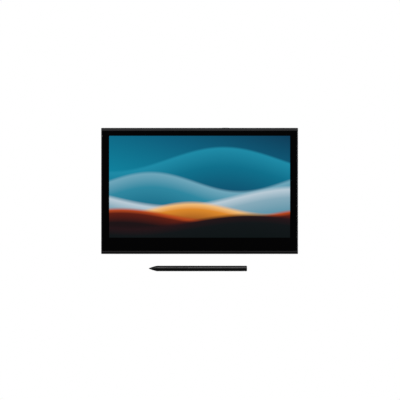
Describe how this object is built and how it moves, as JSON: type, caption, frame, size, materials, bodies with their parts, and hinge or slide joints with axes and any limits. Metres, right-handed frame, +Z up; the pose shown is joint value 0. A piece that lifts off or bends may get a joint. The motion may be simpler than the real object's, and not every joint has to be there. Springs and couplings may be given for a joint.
{
  "type": "pen display with pen",
  "caption": "Slim drawing tablet with a built-in lit screen under flush glass, fold-out legs on its back, sockets on its far edge and a pressure pen beside it.",
  "frame": {"origin": "on the desk, in the middle of the footprint that the tablet and the pen share", "axes": "+X to the right along the tablet's width, +Y away from the user, +Z up out of the screen"},
  "size_m": [0.32, 0.2338, 0.0142],
  "materials": {
    "case_plastic": "fine satin grain",
    "cover_plastic": "matte moulded grain",
    "button_plastic": "satin",
    "cover_glass": "etched anti-glare, black border behind",
    "adhesive_foam": "matte",
    "clear_acrylic": "clear, polished",
    "lcd_glass": "dark panel, lit picture",
    "white_sheet": "matte white",
    "circuit_board": "solder mask",
    "cast_alloy": "as cast",
    "bright_steel": "plated",
    "black_steel": "black oxide",
    "flex_film": "amber film",
    "chip_plastic": "moulded epoxy",
    "foot_rubber": "matte rubber",
    "pen_plastic": "soft-touch satin",
    "pen_button_plastic": "satin",
    "nib_plastic": "hard matte plastic",
    "ferrite": "sintered",
    "copper": "enamelled wire"
  },
  "bodies": {
    "tablet": {"front_frame": "case_plastic", "back_cover": "cover_plastic", "cover_glass": "cover_glass", "glass_gasket": "adhesive_foam", "bonding_film": "clear_acrylic", "light_guide": "clear_acrylic", "status_light_pipe": "clear_acrylic", "display_panel": "lcd_glass", "diffuser_sheet": "white_sheet", "reflector_sheet": "white_sheet", "backlight_frame": "white_sheet", "led_strip": "white_sheet", "digitizer_board": "circuit_board", "driver_board": "circuit_board", "main_board": "circuit_board", "mid_frame": "cast_alloy", "shield_plate": "bright_steel", "left_usb_shell": "bright_steel", "right_usb_shell": "bright_steel", "left_leg_pin": "bright_steel", "right_leg_pin": "bright_steel", "hinge_washers": "bright_steel", "frame_screws": "bright_steel", "board_screws": "bright_steel", "cover_screws": "black_steel", "panel_films": "flex_film", "display_cable": "flex_film", "sensor_cable": "flex_film", "board_chips": "chip_plastic", "usb_tongues": "chip_plastic", "power_switch": "chip_plastic", "near_feet": "foot_rubber", "far_feet": "foot_rubber"},
    "left_leg": {"left_leg": "cover_plastic", "left_leg_pad": "foot_rubber"},
    "right_leg": {"right_leg": "cover_plastic", "right_leg_pad": "foot_rubber"},
    "power_key": {"power_button": "button_plastic"},
    "pen": {"pen_cone": "pen_plastic", "pen_grip_barrel": "pen_plastic", "pen_rear_barrel": "pen_plastic", "pen_end_cap": "pen_plastic", "pen_tact_switches": "chip_plastic", "pen_carrier": "chip_plastic", "pen_circuit_board": "circuit_board", "pen_pressure_sensor": "cast_alloy", "pen_ferrite_core": "ferrite", "pen_coil": "copper"},
    "pen_point": {"pen_nib": "nib_plastic", "pen_nib_holder": "nib_plastic"},
    "pen_lower_key": {"pen_lower_button": "pen_button_plastic"},
    "pen_upper_key": {"pen_upper_button": "pen_button_plastic"}
  },
  "joints": [
    {"name": "left_leg_hinge", "type": "hinge", "parent": "tablet", "child": "left_leg", "pos_m": [-0.107, 0.08845, 0.0037], "axis": [1, 0, 0], "range_deg": [0, 105]},
    {"name": "right_leg_hinge", "type": "hinge", "parent": "tablet", "child": "right_leg", "pos_m": [0.107, 0.08845, 0.0037], "axis": [1, 0, 0], "range_deg": [0, 105]},
    {"name": "power_press", "type": "slide", "parent": "tablet", "child": "power_key", "axis": [0, -1, 0], "range_m": [0, 0.0004], "stiffness_N_per_m": 600},
    {"name": "pen_lift", "type": "slide", "parent": "tablet", "child": "pen", "axis": [0, 0, 1], "range_m": [0, 0.12]},
    {"name": "nib_press", "type": "slide", "parent": "pen", "child": "pen_point", "axis": [1, 0, 0], "range_m": [0, 0.0005], "stiffness_N_per_m": 800},
    {"name": "lower_key_press", "type": "slide", "parent": "pen", "child": "pen_lower_key", "axis": [0, 0, -1], "range_m": [0, 0.0003], "stiffness_N_per_m": 500},
    {"name": "upper_key_press", "type": "slide", "parent": "pen", "child": "pen_upper_key", "axis": [0, 0, -1], "range_m": [0, 0.0003], "stiffness_N_per_m": 500}
  ]
}
